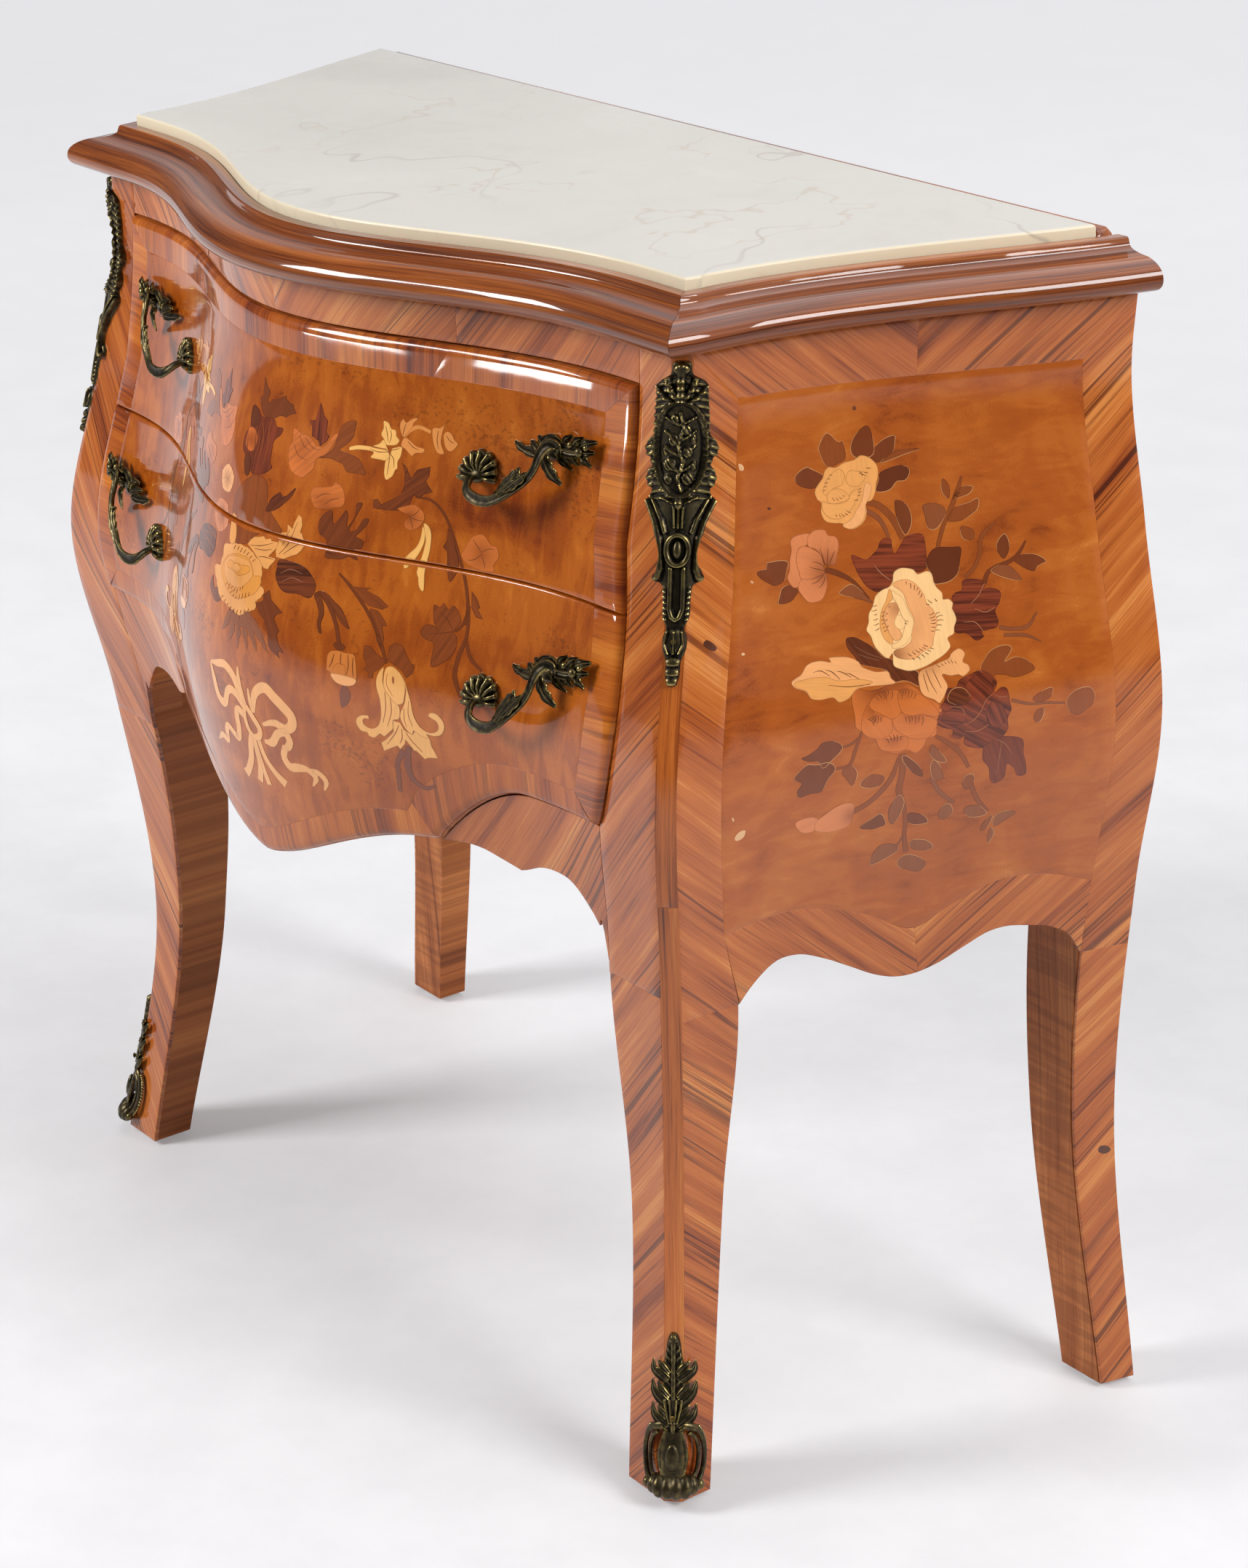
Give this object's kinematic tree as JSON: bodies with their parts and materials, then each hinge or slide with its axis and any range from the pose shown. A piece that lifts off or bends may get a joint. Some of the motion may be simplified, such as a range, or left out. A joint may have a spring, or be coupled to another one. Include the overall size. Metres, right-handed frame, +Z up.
{
  "type": "commode chest",
  "caption": "Low curved chest of drawers on cabriole legs, with a serpentine front, splayed sides, cast mounts and pulls, and a stone slab let into a moulded top.",
  "frame": {"origin": "on the floor under the middle of the chest", "axes": "+X to the chest's left as it faces the room, which is the viewer's right, -Y out of the drawer fronts, +Z up"},
  "size_m": [0.8816, 0.4018, 0.78],
  "materials": {
    "banding_veneer": "gloss",
    "field_veneer": "gloss",
    "moulding_wood": "gloss",
    "carcass_wood": "matte",
    "drawer_wood": "matte",
    "marble": "gloss",
    "bronze": "satin",
    "steel": "satin",
    "glide_plastic": "matte"
  },
  "bodies": {
    "case": {"front_leg_right": "banding_veneer", "front_leg_left": "banding_veneer", "back_leg_right": "banding_veneer", "back_leg_left": "banding_veneer", "side_panel_right": "field_veneer", "side_panel_left": "field_veneer", "back_panel": "carcass_wood", "top_rail": "banding_veneer", "apron_bracket_right": "banding_veneer", "apron_bracket_left": "banding_veneer", "middle_board": "carcass_wood", "bottom_board": "carcass_wood", "upper_guide_right": "carcass_wood", "upper_guide_left": "carcass_wood", "lower_guide_right": "carcass_wood", "lower_guide_left": "carcass_wood", "moulding_front": "moulding_wood", "moulding_right": "moulding_wood", "moulding_left": "moulding_wood", "back_strip": "moulding_wood", "top_board": "carcass_wood", "marble_top": "marble", "corner_mount_right": "bronze", "corner_mount_left": "bronze", "corner_pin_upper_right": "bronze", "corner_pin_upper_left": "bronze", "corner_pin_lower_right": "bronze", "corner_pin_lower_left": "bronze", "sabot_right": "bronze", "sabot_left": "bronze", "sabot_pin_right": "bronze", "sabot_pin_left": "bronze", "glide_front_right": "glide_plastic", "glide_front_left": "glide_plastic", "glide_back_right": "glide_plastic", "glide_back_left": "glide_plastic"},
    "upper_drawer": {"upper_front": "field_veneer", "upper_side_right": "drawer_wood", "upper_side_left": "drawer_wood", "upper_back": "drawer_wood", "upper_bottom": "drawer_wood", "upper_pull_right": "bronze", "upper_pull_left": "bronze", "upper_screw_inner_right": "steel", "upper_screw_inner_left": "steel", "upper_screw_outer_right": "steel", "upper_screw_outer_left": "steel"},
    "lower_drawer": {"lower_front": "field_veneer", "lower_side_right": "drawer_wood", "lower_side_left": "drawer_wood", "lower_back": "drawer_wood", "lower_bottom": "drawer_wood", "lower_pull_right": "bronze", "lower_pull_left": "bronze", "lower_screw_inner_right": "steel", "lower_screw_inner_left": "steel", "lower_screw_outer_right": "steel", "lower_screw_outer_left": "steel"}
  },
  "joints": [
    {"name": "upper_drawer_slide", "type": "slide", "parent": "case", "child": "upper_drawer", "axis": [0, -1, 0], "range_m": [0, 0.19]},
    {"name": "lower_drawer_slide", "type": "slide", "parent": "case", "child": "lower_drawer", "axis": [0, -1, 0], "range_m": [0, 0.21]}
  ]
}
